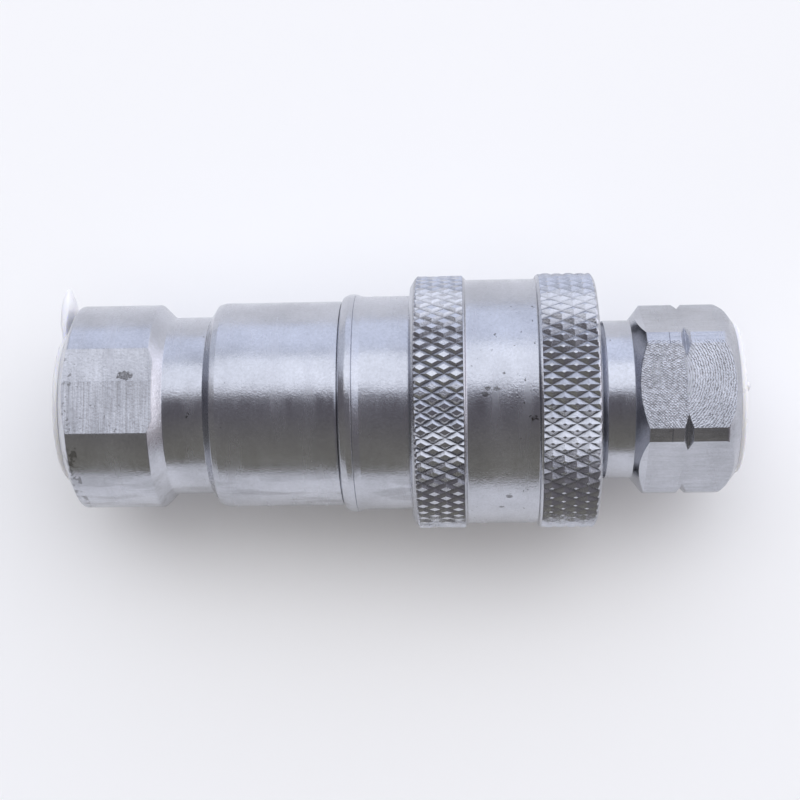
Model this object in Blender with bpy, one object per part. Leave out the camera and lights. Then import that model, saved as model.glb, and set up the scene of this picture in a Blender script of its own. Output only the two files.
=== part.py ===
"""Flat-face quick disconnect coupler, connected, with a dust plug in each port.

The socket half is at -X and the nipple half at +X. All dimensions below are in millimetres.
A station is the distance along the axis from the outer face of the socket plug's flange; a radius is
from the axis.
"""
import math

import bmesh
import bpy
from mathutils import Matrix, Vector

MM = 0.001
GAP = 0.3

# Whole object
TAB_OUTER_FACE = -1.3
NIPPLE_FACE = 105.2
PLUG_CROWN = NIPPLE_FACE + 2.0
MIDDLE = 0.5 * (TAB_OUTER_FACE + PLUG_CROWN)

# Facets round a turned piece
ROUND_LARGE = 32
ROUND_SMALL = 24
RING_SECTION_SIDES = 6

# Port thread, half-inch parallel pipe
THREAD_CREST_R = 9.32
THREAD_ROOT_R = 10.48
THREAD_PITCH = 1.814
THREAD_TURNS = 6

# Socket adapter: collar with wrench flats, neck, large cylinder
COLLAR_R = 16.1
COLLAR_FACE = 1.3
COLLAR_FACE_R = 12.6
COLLAR_CHAMFER = 3.0
COLLAR_SHOULDER = 15.5
FLATS_ACROSS = 29.0
FLATS_END = 16.2
NECK_R = 14.05
NECK_START = COLLAR_SHOULDER + COLLAR_R - NECK_R
NECK_END = 23.75
LARGE_R = 16.2
LARGE_START = 25.3
LARGE_END = 44.1
FLOW_BORE_R = 8.0
CHAMBER_R = 12.9
CHAMBER_FLOOR = 24.0
SCREW_BORE_R = 14.9
SCREW_BORE_FLOOR = 30.3

# Barrel, screwed into the adapter
TAIL_R = 14.6
TAIL_END = SCREW_BORE_FLOOR + GAP
BEAD_FACE = LARGE_END + GAP
FACE_SEAL_DEPTH = 0.95
FACE_SEAL_INNER_R = 14.95
FACE_SEAL_OUTER_R = 16.0
BEAD_R = 17.3
BEAD_END = 47.65
GUIDE_R = 16.9
GUIDE_END = 55.6
WAIST_R = 15.3
CAGE_START = 70.6
CAGE_R = 16.2
BARREL_END = 83.0
SOCKET_BORE_R = 12.6
SPRING_BORE_R = 13.25
SPRING_BORE_END = 55.3
BORE_SEAL_START = 65.1
BORE_SEAL_END = 68.7
BORE_SEAL_ROOT_R = 14.0

# Locking balls
BALL_COUNT = 12
BALL_R = 2.5
BALL_STATION = 74.0
BALL_CIRCLE_R = CAGE_R - BALL_R
BALL_HOLE_R = BALL_R + GAP

# Locking sleeve
SLEEVE_START = 55.2
SLEEVE_END = 83.9
KNURL_1_R = 19.95
KNURL_1_START = 56.35
KNURL_1_END = 63.3
SLEEVE_WAIST_R = 19.27
KNURL_2_R = 20.1
KNURL_2_START = 75.4
KNURL_2_END = 83.0
SLEEVE_RIM_R = 18.5
SLEEVE_BORE_R = GUIDE_R + GAP
LAND_R = CAGE_R + GAP
LAND_START = CAGE_START
LAND_END = 77.6
RELEASE_R = 17.7
SNAP_RING_START = 78.05
SNAP_RING_END = 79.15

# Flat-face valves: both faces meet at the face joint and open by the stroke
FACE_JOINT = 61.0
VALVE_STROKE = 9.0
NOSE_R = 12.25
LIP_R = 7.75
LIP_LENGTH = 3.7
HEAD_R = LIP_R - GAP
HEAD_LENGTH = 4.4
HEAD_BACK_CHAMFER = 0.6
HEAD_GROOVE_START = 1.0
HEAD_GROOVE_END = 2.9
HEAD_GROOVE_R = 6.2
VALVE_SEAL_WIRE_R = 0.62
STEM_FACE = FACE_JOINT + VALVE_STROKE
STEM_R = 3.0
NUT_START = 21.0
NUT_ACROSS = 8.0

# Nipple
GROOVE_R = 10.9
RELIEF_R = 11.6
RELIEF_START = 82.4
RELIEF_END = 84.1
NIPPLE_NECK_R = 12.45
NIPPLE_NECK_START = 85.2
HEX_START = 89.25
HEX_ACROSS = 27.0
HEX_CORNER_R = 14.87
HEX_SHOULDER = 91.15
HEX_GROOVE = 97.0
HEX_GROOVE_HALF = 0.72
HEX_GROOVE_R = 14.05
HEX_BACK = 103.0
NIPPLE_FACE_R = 12.3
NIPPLE_BORE_R = 8.7
GUIDE_START = 88.0
GUIDE_THICKNESS = 3.0
POPPET_ROD_R = 2.6
POPPET_ROD_END = 101.5
CLIP_START = GUIDE_START + GUIDE_THICKNESS + GAP
CLIP_GROOVE_R = 10.1

# Dust plugs
PLUG_STEM_R = 9.0
PLUG_HOLLOW_R = 7.6
PLUG_STEM_LENGTH = 9.5
PLUG_FLANGE_R = 11.8
PLUG_WALL = 0.8
TAB_TIP_R = 19.4
TAB_WIDTH = 7.0
PLUG_FLANGE_HEIGHT = 1.0
SOCKET_PLUG_SEAT = COLLAR_FACE - GAP


def clear_scene():
    for obj in list(bpy.data.objects):
        bpy.data.objects.remove(obj, do_unlink=True)


def make_material(name, color, roughness, metallic):
    material = bpy.data.materials.new(name)
    material.use_nodes = True
    shader = material.node_tree.nodes["Principled BSDF"]
    shader.inputs["Base Color"].default_value = (*color, 1.0)
    shader.inputs["Roughness"].default_value = roughness
    shader.inputs["Metallic"].default_value = metallic
    return material


def zinc(name):
    return make_material(name, (0.62, 0.65, 0.72), 0.32, 1.0)


def steel(name):
    return make_material(name, (0.50, 0.50, 0.51), 0.30, 1.0)


def rubber(name):
    return make_material(name, (0.03, 0.03, 0.03), 0.60, 0.0)


def white_plastic(name):
    return make_material(name, (0.84, 0.86, 0.92), 0.35, 0.0)


def axial(station):
    """X in metres of a station in millimetres."""
    return (station - MIDDLE) * MM


def object_from_bmesh(name, bm, material, sharp_degrees=35.0):
    bmesh.ops.recalc_face_normals(bm, faces=bm.faces)
    mesh = bpy.data.meshes.new(name)
    bm.to_mesh(mesh)
    bm.free()
    mesh.shade_smooth()
    mesh.set_sharp_from_angle(angle=math.radians(sharp_degrees))
    obj = bpy.data.objects.new(name, mesh)
    bpy.context.collection.objects.link(obj)
    mesh.materials.append(material)
    return obj


def turned(name, outline, material, segments=ROUND_LARGE, opening=0.0):
    """A closed outline of (station, radius) points, turned about the X axis.

    An opening in degrees leaves a gap in the ring, centred on -Z, with flat ends.
    """
    bm = bmesh.new()
    whole = opening == 0.0
    columns = []
    for i in range(segments if whole else segments + 1):
        angle = math.radians(-90.0 + opening / 2 + (360.0 - opening) * i / segments)
        columns.append([(axial(s), r * MM * math.cos(angle), r * MM * math.sin(angle)) for s, r in outline])
    centre = {}
    rows = []
    for column in columns:
        row = []
        for k, co in enumerate(column):
            on_axis = outline[k][1] == 0.0
            if on_axis and k not in centre:
                centre[k] = bm.verts.new(co)
            row.append(centre[k] if on_axis else bm.verts.new(co))
        rows.append(row)
    for a, b in zip(rows, rows[1:] + (rows[:1] if whole else [])):
        for k in range(len(outline)):
            n = (k + 1) % len(outline)
            corners = list(dict.fromkeys((a[k], a[n], b[n], b[k])))
            if len(corners) > 2:
                bm.faces.new(corners)
    if not whole:
        bm.faces.new(rows[0])
        bm.faces.new(rows[-1])
    return object_from_bmesh(name, bm, material)


def wire_ring(name, station, radius, wire_r, material, segments=ROUND_SMALL):
    """A ring of round section, such as an O-ring."""
    outline = []
    for k in range(RING_SECTION_SIDES):
        angle = 2 * math.pi * k / RING_SECTION_SIDES
        outline.append((station + wire_r * math.cos(angle), radius + wire_r * math.sin(angle)))
    return turned(name, outline, material, segments)


def coil_spring(name, start, end, mean_r, wire_r, turns, material, points_per_turn=14):
    """A compression spring with one closed turn at each end."""
    end_pitch = 2 * wire_r * 1.12
    middle_pitch = (end - start - 2 * wire_r - 2 * end_pitch) / (turns - 2)
    count = int(turns * points_per_turn)
    curve = bpy.data.curves.new(name, "CURVE")
    curve.dimensions = "3D"
    curve.bevel_depth = wire_r * MM
    curve.bevel_resolution = 1
    curve.use_fill_caps = True
    spline = curve.splines.new("POLY")
    spline.points.add(count)
    station = start + wire_r
    for i in range(count + 1):
        turn = i / points_per_turn
        angle = 2 * math.pi * turn
        spline.points[i].co = (axial(station), mean_r * MM * math.cos(angle), mean_r * MM * math.sin(angle), 1)
        closed = turn < 1.0 or turn >= turns - 1.0
        station += (end_pitch if closed else middle_pitch) / points_per_turn
    curve.materials.append(material)
    obj = bpy.data.objects.new(name, curve)
    bpy.context.collection.objects.link(obj)
    return obj


def cutter_from_bmesh(name, bm):
    bmesh.ops.recalc_face_normals(bm, faces=bm.faces)
    mesh = bpy.data.meshes.new(name)
    bm.to_mesh(mesh)
    bm.free()
    obj = bpy.data.objects.new(name, mesh)
    bpy.context.collection.objects.link(obj)
    obj.hide_render = True
    obj.display_type = "WIRE"
    return obj


def cut(target, cutter, label):
    modifier = target.modifiers.new(label, "BOOLEAN")
    modifier.operation = "DIFFERENCE"
    modifier.solver = "EXACT"
    modifier.object = cutter


def radial_holes(name, station, hole_r, inner_r, outer_r, count, sides=12):
    """Cylinders that point away from the axis, spaced evenly round it."""
    bm = bmesh.new()
    for i in range(count):
        turn = Matrix.Rotation(2 * math.pi * i / count, 4, "X")
        place = Matrix.Translation((axial(station), 0, 0.5 * (inner_r + outer_r) * MM))
        bmesh.ops.create_cone(bm, cap_ends=True, segments=sides, radius1=hole_r * MM, radius2=hole_r * MM,
                              depth=(outer_r - inner_r) * MM, matrix=turn @ place)
    return cutter_from_bmesh(name, bm)


def axial_holes(name, start, end, hole_r, circle_r, count, sides=12):
    """Cylinders along the axis, spaced evenly on a circle."""
    bm = bmesh.new()
    for i in range(count):
        turn = Matrix.Rotation(2 * math.pi * i / count, 4, "X")
        place = Matrix.Translation((axial(0.5 * (start + end)), 0, circle_r * MM))
        lay = Matrix.Rotation(math.pi / 2, 4, "Y")
        bmesh.ops.create_cone(bm, cap_ends=True, segments=sides, radius1=hole_r * MM, radius2=hole_r * MM,
                              depth=(end - start) * MM, matrix=turn @ place @ lay)
    return cutter_from_bmesh(name, bm)


def thread_outline(start, direction):
    """Crests and roots of an internal thread, as (station, radius) points from the start inward."""
    points = []
    for i in range(THREAD_TURNS):
        points.append((start + direction * i * THREAD_PITCH, THREAD_CREST_R))
        points.append((start + direction * (i + 0.5) * THREAD_PITCH, THREAD_ROOT_R))
    points.append((start + direction * THREAD_TURNS * THREAD_PITCH, THREAD_CREST_R))
    return points


def female_adapter():
    outer = [(COLLAR_FACE, COLLAR_FACE_R), (COLLAR_CHAMFER, COLLAR_R), (COLLAR_SHOULDER, COLLAR_R),
             (NECK_START, NECK_R), (NECK_END, NECK_R), (NECK_END + 0.1, NECK_R + 0.45),
             (LARGE_START, LARGE_R), (LARGE_END - 0.4, LARGE_R), (LARGE_END, LARGE_R - 0.4)]
    screw_bore = [(LARGE_END, SCREW_BORE_R), (SCREW_BORE_FLOOR, SCREW_BORE_R),
                  (SCREW_BORE_FLOOR, CHAMBER_R), (CHAMBER_FLOOR, CHAMBER_R), (CHAMBER_FLOOR, FLOW_BORE_R)]
    thread = thread_outline(COLLAR_FACE + 1.3, 1)
    thread_end = thread[-1][0]
    bore_start = thread_end + 2.0
    flow = [(bore_start, THREAD_CREST_R), (bore_start + THREAD_CREST_R - FLOW_BORE_R, FLOW_BORE_R)]
    countersink = 0.6
    mouth = [(COLLAR_FACE + countersink, THREAD_ROOT_R), (COLLAR_FACE, THREAD_ROOT_R + countersink)]
    outline = outer + screw_bore + flow[::-1] + thread[::-1] + mouth
    body = turned("female_adapter", outline, zinc("female_adapter"))
    bm = bmesh.new()
    reach = 40.0
    for side in (1, -1):
        place = Matrix.Translation((axial(0.5 * FLATS_END), 0, side * 0.5 * (FLATS_ACROSS + reach) * MM))
        size = Matrix.Diagonal((FLATS_END * MM, reach * MM, reach * MM, 1.0))
        bmesh.ops.create_cube(bm, size=1.0, matrix=place @ size)
    cut(body, cutter_from_bmesh("cutter_wrench_flats", bm), "wrench flats")


def female_barrel():
    bead = [(BEAD_FACE, LARGE_R), (BEAD_FACE + 0.25, GUIDE_R), (BEAD_FACE + 1.2, BEAD_R),
            (BEAD_END - 1.1, BEAD_R), (BEAD_END, GUIDE_R)]
    groove_floor = BEAD_FACE + FACE_SEAL_DEPTH
    seal_groove = [(BEAD_FACE, TAIL_R), (BEAD_FACE, FACE_SEAL_INNER_R), (groove_floor, FACE_SEAL_INNER_R),
                   (groove_floor, FACE_SEAL_OUTER_R), (BEAD_FACE, FACE_SEAL_OUTER_R)]
    clip_groove = [(SNAP_RING_START - 0.2, CAGE_R), (SNAP_RING_START - 0.2, WAIST_R),
                   (SNAP_RING_END + 0.2, WAIST_R), (SNAP_RING_END + 0.2, CAGE_R)]
    outer = [(GUIDE_END, GUIDE_R), (GUIDE_END, WAIST_R), (CAGE_START, WAIST_R), (CAGE_START, CAGE_R)]
    mouth = [(BARREL_END - 0.5, CAGE_R), (BARREL_END, CAGE_R - 0.5), (BARREL_END, 13.3),
             (BARREL_END - 0.7, SOCKET_BORE_R)]
    seal_seat = [(BORE_SEAL_END, SOCKET_BORE_R), (BORE_SEAL_END, BORE_SEAL_ROOT_R),
                 (BORE_SEAL_START, BORE_SEAL_ROOT_R), (BORE_SEAL_START, SOCKET_BORE_R)]
    bore = [(SPRING_BORE_END, SOCKET_BORE_R), (SPRING_BORE_END, SPRING_BORE_R), (TAIL_END, SPRING_BORE_R)]
    outline = ([(TAIL_END, TAIL_R)] + seal_groove + bead + outer + clip_groove + mouth + seal_seat + bore)
    body = turned("female_barrel", outline, zinc("female_barrel"))
    holes = radial_holes("cutter_ball_holes", BALL_STATION, BALL_HOLE_R, SOCKET_BORE_R - 1.6, CAGE_R + 1.8,
                         BALL_COUNT)
    cut(body, holes, "ball holes")


def adapter_seal():
    mean_r = 0.5 * (FACE_SEAL_INNER_R + FACE_SEAL_OUTER_R)
    wire_ring("adapter_seal", BEAD_FACE + 0.45, mean_r, 0.4, rubber("adapter_seal"))


def locking_balls():
    material = steel("locking_ball")
    for i in range(BALL_COUNT):
        bm = bmesh.new()
        bmesh.ops.create_icosphere(bm, subdivisions=2, radius=BALL_R * MM)
        ball = object_from_bmesh(f"locking_ball_{i + 1:02d}", bm, material, sharp_degrees=80.0)
        turn = Matrix.Rotation(2 * math.pi * i / BALL_COUNT, 4, "X")
        ball.location = turn @ Vector((axial(BALL_STATION), 0, BALL_CIRCLE_R * MM))


def locking_sleeve():
    left = [(SLEEVE_START, SLEEVE_BORE_R), (SLEEVE_START, SLEEVE_RIM_R), (SLEEVE_START + 0.6, SLEEVE_WAIST_R),
            (KNURL_1_START, KNURL_1_R), (KNURL_1_END, KNURL_1_R)]
    waist = [(KNURL_1_END + 0.5, SLEEVE_WAIST_R), (KNURL_2_START - 0.6, SLEEVE_WAIST_R)]
    right = [(KNURL_2_START, KNURL_2_R), (KNURL_2_END, KNURL_2_R), (SLEEVE_END - 0.3, KNURL_2_R - 0.5),
             (SLEEVE_END, SLEEVE_RIM_R + 0.3)]
    inside = [(SLEEVE_END, RELEASE_R + 0.4), (SLEEVE_END - 0.4, RELEASE_R), (LAND_END, RELEASE_R),
              (LAND_END, LAND_R), (LAND_START, LAND_R), (LAND_START, SLEEVE_BORE_R)]
    turned("locking_sleeve", left + waist + right + inside, zinc("locking_sleeve"))


def sleeve_return_parts():
    washer_thickness = 1.0
    washer_end = LAND_START - GAP
    washer_start = washer_end - washer_thickness
    washer = [(washer_start, WAIST_R + GAP), (washer_start, GUIDE_R), (washer_end, GUIDE_R),
              (washer_end, WAIST_R + GAP)]
    turned("sleeve_thrust_washer", washer, steel("sleeve_thrust_washer"), ROUND_SMALL)
    spring_r = 16.25
    wire_r = 0.55
    coil_spring("sleeve_spring", GUIDE_END + GAP, washer_start - GAP, spring_r, wire_r, 4.5,
                steel("sleeve_spring"), points_per_turn=20)
    clip_inner_r = WAIST_R + 0.35
    clip_outer_r = RELEASE_R - 0.4
    clip = [(SNAP_RING_START, clip_inner_r), (SNAP_RING_START, clip_outer_r), (SNAP_RING_END, clip_outer_r),
            (SNAP_RING_END, clip_inner_r)]
    turned("sleeve_retaining_ring", clip, steel("sleeve_retaining_ring"), ROUND_SMALL, opening=24.0)


def barrel_seals():
    wire_r = 0.68
    wire_ring("barrel_seal", BORE_SEAL_START + 1.0, SOCKET_BORE_R + 0.6, wire_r, rubber("barrel_seal"))
    ring_start = BORE_SEAL_START + 2.05
    ring_end = BORE_SEAL_END - GAP
    inner_r = SOCKET_BORE_R - 0.08
    outer_r = BORE_SEAL_ROOT_R - 0.2
    ring = [(ring_start, inner_r), (ring_start, outer_r), (ring_end, outer_r), (ring_end, inner_r)]
    turned("barrel_backup_ring", ring, white_plastic("barrel_backup_ring"), ROUND_SMALL)


def valve_head(face, direction, rod_r, rod_end):
    """Outline of a flat-faced valve: face, seal groove, head, rod. The rod points away from the face."""
    def at(depth):
        return face + direction * depth
    back = at(HEAD_LENGTH + HEAD_BACK_CHAMFER)
    groove = [(at(HEAD_GROOVE_START), HEAD_R), (at(HEAD_GROOVE_START), HEAD_GROOVE_R),
              (at(HEAD_GROOVE_END), HEAD_GROOVE_R), (at(HEAD_GROOVE_END), HEAD_R)]
    rod = [(back, HEAD_R - 1.05), (back, rod_r), (rod_end, rod_r), (rod_end, 0.0)]
    return [(at(0), 0.0), (at(0), HEAD_R)] + groove + [(at(HEAD_LENGTH), HEAD_R)] + rod


def valve_seal(name, face, direction):
    middle = 0.5 * (HEAD_GROOVE_START + HEAD_GROOVE_END)
    wire_ring(name, face + direction * middle, HEAD_GROOVE_R + 0.72, VALVE_SEAL_WIRE_R, rubber(name))


def fixed_stem():
    carrier_face = CHAMBER_FLOOR + 2 * GAP + GUIDE_THICKNESS
    thread_r = STEM_R - 0.1
    thread_end = NUT_START - 0.6
    outline = valve_head(STEM_FACE, -1, STEM_R, carrier_face)[:-1]
    outline += [(carrier_face, thread_r), (thread_end, thread_r), (thread_end, 0.0)]
    turned("fixed_stem", outline, steel("fixed_stem"), ROUND_SMALL)
    valve_seal("stem_seal", STEM_FACE, -1)


def spoked_disc(name, start, thickness, outer_r, bore_r, hole_r, circle_r, count):
    """A guide disc with a central bore and a ring of flow holes."""
    end = start + thickness
    outline = [(start, bore_r), (start, outer_r), (end, outer_r), (end, bore_r)]
    disc = turned(name, outline, steel(name), ROUND_SMALL)
    cut(disc, axial_holes("cutter_" + name, start - 1, end + 1, hole_r, circle_r, count), "flow holes")


def stem_mounting():
    stem_bore_r = STEM_R + 0.2
    spoked_disc("stem_carrier", CHAMBER_FLOOR + GAP, GUIDE_THICKNESS, CHAMBER_R - GAP, stem_bore_r, 2.3, 7.6, 6)
    bm = bmesh.new()
    nut_end = CHAMBER_FLOOR - GAP
    nut_length = (nut_end - NUT_START) * MM
    corner_r = NUT_ACROSS / math.sqrt(3) * MM
    place = Matrix.Translation((axial(0.5 * (NUT_START + nut_end)), 0, 0)) @ Matrix.Rotation(math.pi / 2, 4, "Y")
    bmesh.ops.create_cone(bm, cap_ends=True, segments=6, radius1=corner_r, radius2=corner_r, depth=nut_length,
                          matrix=place)
    nut = object_from_bmesh("stem_nut", bm, steel("stem_nut"))
    bore = bmesh.new()
    bmesh.ops.create_cone(bore, cap_ends=True, segments=ROUND_SMALL, radius1=stem_bore_r * MM,
                          radius2=stem_bore_r * MM, depth=3 * nut_length, matrix=place)
    cut(nut, cutter_from_bmesh("cutter_stem_nut", bore), "nut bore")


def face_sleeve():
    flange_start = 44.0
    flange_end = 46.0
    bore_r = 9.0
    groove_start = FACE_JOINT - 3.6
    groove_end = FACE_JOINT - 1.6
    groove_r = 11.0
    groove = [(groove_start, NOSE_R), (groove_start, groove_r), (groove_end, groove_r), (groove_end, NOSE_R)]
    flange_r = SPRING_BORE_R - 0.25
    outline = [(flange_start, bore_r), (flange_start, flange_r), (flange_end, flange_r), (flange_end, NOSE_R)]
    outline += groove
    outline += [(FACE_JOINT, NOSE_R), (FACE_JOINT, LIP_R), (FACE_JOINT - LIP_LENGTH, LIP_R),
                (FACE_JOINT - LIP_LENGTH - 1.3, bore_r)]
    turned("face_sleeve", outline, zinc("face_sleeve"))
    seal_station = 0.5 * (groove_start + groove_end)
    wire_ring("face_sleeve_seal", seal_station, groove_r + 0.74, VALVE_SEAL_WIRE_R, rubber("face_sleeve_seal"))
    carrier_face = CHAMBER_FLOOR + GAP + GUIDE_THICKNESS
    coil_spring("face_sleeve_spring", carrier_face + GAP, flange_start - GAP, 12.0, 0.7, 7.5,
                steel("face_sleeve_spring"))


def male_body():
    face = FACE_JOINT + GAP
    half_groove = 1.2
    slope = NOSE_R - GROOVE_R + 0.15
    nose = [(face, LIP_R), (face, NOSE_R - 0.3), (face + 0.3, NOSE_R),
            (BALL_STATION - half_groove - slope, NOSE_R), (BALL_STATION - half_groove, GROOVE_R),
            (BALL_STATION + half_groove, GROOVE_R), (BALL_STATION + half_groove + slope, NOSE_R),
            (RELIEF_START, NOSE_R), (RELIEF_START + NOSE_R - RELIEF_R, RELIEF_R), (RELIEF_END, RELIEF_R),
            (NIPPLE_NECK_START, NIPPLE_NECK_R), (HEX_START, NIPPLE_NECK_R)]
    back = [(HEX_SHOULDER, HEX_CORNER_R), (HEX_GROOVE - HEX_GROOVE_HALF, HEX_CORNER_R),
            (HEX_GROOVE, HEX_GROOVE_R), (HEX_GROOVE + HEX_GROOVE_HALF, HEX_CORNER_R),
            (HEX_BACK, HEX_CORNER_R), (HEX_BACK + 0.85, HEX_CORNER_R - 0.8), (NIPPLE_FACE, NIPPLE_FACE_R)]
    thread_start = NIPPLE_FACE - 0.9
    thread = thread_outline(thread_start, -1)
    clip_groove = [(CLIP_START + 1.3, THREAD_CREST_R), (CLIP_START + 1.3, CLIP_GROOVE_R),
                   (CLIP_START - 0.1, CLIP_GROOVE_R), (CLIP_START - 0.1, THREAD_CREST_R)]
    seat = GUIDE_START - GAP
    bore = [(seat, THREAD_CREST_R), (seat, NIPPLE_BORE_R), (face + LIP_LENGTH + 1.0, NIPPLE_BORE_R),
            (face + LIP_LENGTH, LIP_R)]
    mouth = [(NIPPLE_FACE, THREAD_ROOT_R)]
    body = turned("male_body", nose + back + mouth + thread + clip_groove + bore, zinc("male_body"))
    bm = bmesh.new()
    hex_r = HEX_ACROSS / math.sqrt(3)
    rings = []
    for station in (HEX_START - 0.05, NIPPLE_FACE + 2):
        for radius in (hex_r, 2 * hex_r):
            corners = []
            for i in range(6):
                angle = math.radians(60 * i)
                corners.append(bm.verts.new((axial(station), radius * MM * math.cos(angle),
                                             radius * MM * math.sin(angle))))
            rings.append(corners)
    for a, b in ((0, 1), (1, 3), (3, 2), (2, 0)):
        for i in range(6):
            n = (i + 1) % 6
            bm.faces.new((rings[a][i], rings[a][n], rings[b][n], rings[b][i]))
    cut(body, cutter_from_bmesh("cutter_hex", bm), "hex")


def nipple_valve():
    face = STEM_FACE + GAP
    turned("male_poppet", valve_head(face, 1, POPPET_ROD_R, POPPET_ROD_END), steel("male_poppet"), ROUND_SMALL)
    valve_seal("poppet_seal", face, 1)
    spoked_disc("poppet_guide", GUIDE_START, GUIDE_THICKNESS, THREAD_CREST_R - GAP, POPPET_ROD_R + GAP,
                1.7, 6.1, 6)
    spring_start = face + HEAD_LENGTH + HEAD_BACK_CHAMFER + GAP
    coil_spring("poppet_spring", spring_start, GUIDE_START - GAP, 4.7, 0.6, 8.0, steel("poppet_spring"),
                points_per_turn=12)
    clip_end = CLIP_START + 1.2
    inner_r = THREAD_CREST_R - 1.32
    outer_r = CLIP_GROOVE_R - 0.35
    clip = [(CLIP_START, inner_r), (CLIP_START, outer_r), (clip_end, outer_r), (clip_end, inner_r)]
    turned("guide_retaining_ring", clip, steel("guide_retaining_ring"), ROUND_SMALL, opening=30.0)


def plug_outline(seat, outward):
    """A cup that fills the port mouth, with a thin flange on the seat and a slightly crowned face.

    Outward is -1 or +1.
    """
    top = seat + outward * PLUG_FLANGE_HEIGHT
    crown = top + outward * 0.7
    tip = seat - outward * PLUG_STEM_LENGTH
    floor = seat - outward * PLUG_WALL
    return [(crown, 0.0), (crown, 4.0), (top + outward * 0.45, 8.0), (top, PLUG_FLANGE_R - 0.3),
            (top - outward * 0.3, PLUG_FLANGE_R), (seat, PLUG_FLANGE_R), (seat, PLUG_STEM_R),
            (tip + outward * 0.8, PLUG_STEM_R), (tip, PLUG_STEM_R - 0.5), (tip, PLUG_HOLLOW_R),
            (floor, PLUG_HOLLOW_R), (floor, 0.0)]


def pull_tab(base_station, thickness):
    """A leaf-shaped ear that points along +Y from the flange."""
    bm = bmesh.new()
    half = 0.5 * TAB_WIDTH
    tip_length = 1.15 * half
    shoulder = TAB_TIP_R - tip_length
    outline = [(PLUG_STEM_R, -half - 1.0), (shoulder, -half)]
    for i in range(1, 8):
        angle = math.pi * i / 8
        outline.append((shoulder + tip_length * math.sin(angle), -half * math.cos(angle)))
    outline += [(shoulder, half), (PLUG_STEM_R, half + 1.0)]
    low = [bm.verts.new((axial(base_station), y * MM, z * MM)) for y, z in outline]
    high = [bm.verts.new((axial(base_station + thickness), y * MM, z * MM)) for y, z in outline]
    bm.faces.new(low)
    bm.faces.new(high[::-1])
    for i in range(len(outline)):
        n = (i + 1) % len(outline)
        bm.faces.new((low[i], high[i], high[n], low[n]))
    return cutter_from_bmesh("tab_shape", bm)


def tab_root():
    """The block that joins the ear to the flange, inside the mouth of the port."""
    bm = bmesh.new()
    half = 0.5 * TAB_WIDTH
    low = Vector((TAB_OUTER_FACE + 0.3, PLUG_STEM_R - 1.0, -half))
    high = Vector((SOCKET_PLUG_SEAT - 0.3, PLUG_FLANGE_R - 0.4, half))
    middle = 0.5 * (low + high)
    size = (high - low) * MM
    place = Matrix.Translation((axial(middle.x), middle.y * MM, middle.z * MM))
    bmesh.ops.create_cube(bm, size=1.0, matrix=place @ Matrix.Diagonal((*size, 1.0)))
    return cutter_from_bmesh("tab_root_shape", bm)


def unite(target, other, label):
    modifier = target.modifiers.new(label, "BOOLEAN")
    modifier.operation = "UNION"
    modifier.solver = "EXACT"
    modifier.object = other


def dust_plugs():
    material = white_plastic("female_port_plug")
    left = turned("female_port_plug", plug_outline(SOCKET_PLUG_SEAT, -1), material)
    unite(left, tab_root(), "tab root")
    unite(left, pull_tab(TAB_OUTER_FACE, 1.0), "pull tab")
    turned("male_port_plug", plug_outline(NIPPLE_FACE + GAP, 1), white_plastic("male_port_plug"))


def main():
    clear_scene()
    female_adapter()
    female_barrel()
    adapter_seal()
    locking_balls()
    locking_sleeve()
    sleeve_return_parts()
    barrel_seals()
    fixed_stem()
    stem_mounting()
    face_sleeve()
    male_body()
    nipple_valve()
    dust_plugs()


main()
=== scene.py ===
"""Looks of the quick disconnect coupler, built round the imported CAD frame.

The socket half is at -X and the nipple half at +X. Lengths below are in millimetres. A station is the
distance along the axis from the outer face of the socket plug's flange, and a radius is from the axis.
"""

import math

import bmesh
import bpy
import numpy as np
from mathutils import Matrix, Vector


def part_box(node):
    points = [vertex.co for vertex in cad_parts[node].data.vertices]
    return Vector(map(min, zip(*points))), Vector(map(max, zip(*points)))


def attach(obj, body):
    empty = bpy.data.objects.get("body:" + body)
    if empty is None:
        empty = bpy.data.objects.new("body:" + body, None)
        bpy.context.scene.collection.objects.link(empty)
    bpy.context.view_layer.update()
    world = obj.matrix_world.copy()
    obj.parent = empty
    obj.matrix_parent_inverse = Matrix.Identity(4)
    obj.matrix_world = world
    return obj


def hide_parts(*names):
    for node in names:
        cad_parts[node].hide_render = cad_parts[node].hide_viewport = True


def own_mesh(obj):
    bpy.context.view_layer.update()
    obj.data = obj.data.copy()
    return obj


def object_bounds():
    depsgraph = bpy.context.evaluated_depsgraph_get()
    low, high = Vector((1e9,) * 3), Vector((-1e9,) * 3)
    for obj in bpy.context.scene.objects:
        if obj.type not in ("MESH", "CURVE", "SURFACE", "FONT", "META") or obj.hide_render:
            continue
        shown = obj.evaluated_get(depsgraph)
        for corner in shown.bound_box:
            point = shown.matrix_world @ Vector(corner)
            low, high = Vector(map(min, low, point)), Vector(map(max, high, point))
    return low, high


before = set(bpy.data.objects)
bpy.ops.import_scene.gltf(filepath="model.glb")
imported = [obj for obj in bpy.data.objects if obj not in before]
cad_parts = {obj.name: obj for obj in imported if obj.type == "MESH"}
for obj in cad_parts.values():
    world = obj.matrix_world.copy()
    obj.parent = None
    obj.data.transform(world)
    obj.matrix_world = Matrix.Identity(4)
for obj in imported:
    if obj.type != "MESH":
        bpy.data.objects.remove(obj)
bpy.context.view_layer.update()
MM = 0.001

# Facets
AROUND = 192
FILLET_STEPS = 6
KNURL_DIAMONDS = 64
KNURL_PITCH = 3.58

# Places shared by the pieces and their materials
WRENCH_FLAT_Z = 14.72
WRENCH_FLAT_END = 16.2
HEX_APOTHEM = 13.4
HEX_TURN = 1.0
HEX_GROOVE = 97.0
WAIST_R = 19.27
BALL_R = 2.5
BALL_HOLE_R = 2.8


# ---------------------------------------------------------------- places

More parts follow.
